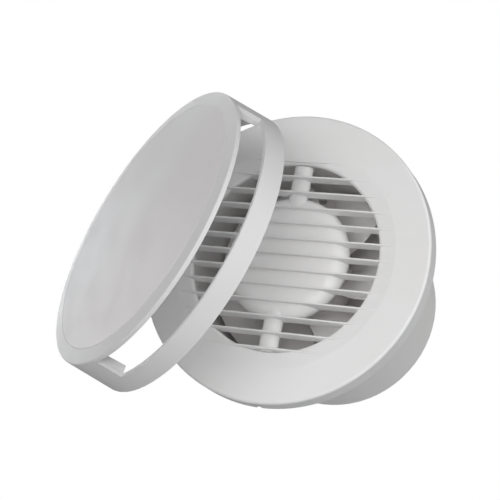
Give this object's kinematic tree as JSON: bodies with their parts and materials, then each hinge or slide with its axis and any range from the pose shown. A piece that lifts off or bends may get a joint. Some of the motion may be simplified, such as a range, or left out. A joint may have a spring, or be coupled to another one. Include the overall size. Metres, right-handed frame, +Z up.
{
  "type": "bathroom exhaust fan",
  "caption": "Round wall exhaust fan: slatted grille, pod-shaped motor, bladed rotor, non-return shutter in the duct spigot, and a windowed front cap held off the face.",
  "frame": {"origin": "centre of the plane where the housing's plate lies on the wall, on the fan's axis", "axes": "+Y runs into the wall along the duct spigot, -Y is the way the face looks, +Z is up, and the slats lie along X"},
  "size_m": [0.2465, 0.2793, 0.225],
  "materials": {
    "white_abs": "satin white moulded ABS",
    "grey_plate": "matt grey moulding",
    "zinc_steel": "zinc-plated steel",
    "copper_coil": "enamelled copper winding",
    "sintered_bronze": "sintered bronze",
    "black_rubber": "soft black rubber"
  },
  "bodies": {
    "fan_body": {"front_grille": "white_abs", "duct_housing": "white_abs", "motor_carrier": "white_abs", "motor_plate": "grey_plate", "stator_stack": "zinc_steel", "stator_coil_1": "copper_coil", "stator_coil_2": "copper_coil", "stator_coil_3": "copper_coil", "stator_coil_4": "copper_coil", "front_bush": "sintered_bronze", "rear_bush": "sintered_bronze", "plate_screw_1": "zinc_steel", "plate_screw_2": "zinc_steel", "plate_screw_3": "zinc_steel", "terminal_block": "grey_plate", "terminal_screw_1": "sintered_bronze", "terminal_screw_2": "sintered_bronze", "cable_grommet": "black_rubber", "keeper_disc_1": "zinc_steel", "keeper_disc_2": "zinc_steel", "keeper_disc_3": "zinc_steel", "keeper_disc_4": "zinc_steel", "shutter_frame": "grey_plate", "flap_pin_left": "zinc_steel", "flap_pin_right": "zinc_steel"},
    "rotor": {"impeller": "white_abs", "hub_nut": "zinc_steel", "shaft": "zinc_steel", "rotor_core": "zinc_steel"},
    "cap_body": {"cap": "white_abs", "cap_magnet_1": "zinc_steel", "cap_magnet_2": "zinc_steel", "cap_magnet_3": "zinc_steel", "cap_magnet_4": "zinc_steel"},
    "flap_left": {"shutter_flap_left": "grey_plate"},
    "flap_right": {"shutter_flap_right": "grey_plate"}
  },
  "joints": [
    {"name": "impeller_spin", "type": "hinge", "parent": "fan_body", "child": "rotor", "pos_m": [0, 0.028, 0], "axis": [0, 1, 0], "continuous": true},
    {"name": "cap_swing", "type": "hinge", "parent": "fan_body", "child": "cap_body", "pos_m": [-0.09974, 0.0013, 0.02138], "axis": [-0.133, 0.413, -0.901], "range_deg": [-42.9, 0]},
    {"name": "flap_right_swing", "type": "hinge", "parent": "fan_body", "child": "flap_right", "pos_m": [0.0026, 0.0652, 0], "axis": [0, 0, 1], "range_deg": [0, 80], "stiffness_Nm_per_rad": 0.002},
    {"name": "flap_left_swing", "type": "hinge", "parent": "fan_body", "child": "flap_left", "pos_m": [-0.0026, 0.0652, 0], "axis": [0, 0, -1], "range_deg": [0, 80], "stiffness_Nm_per_rad": 0.002}
  ]
}
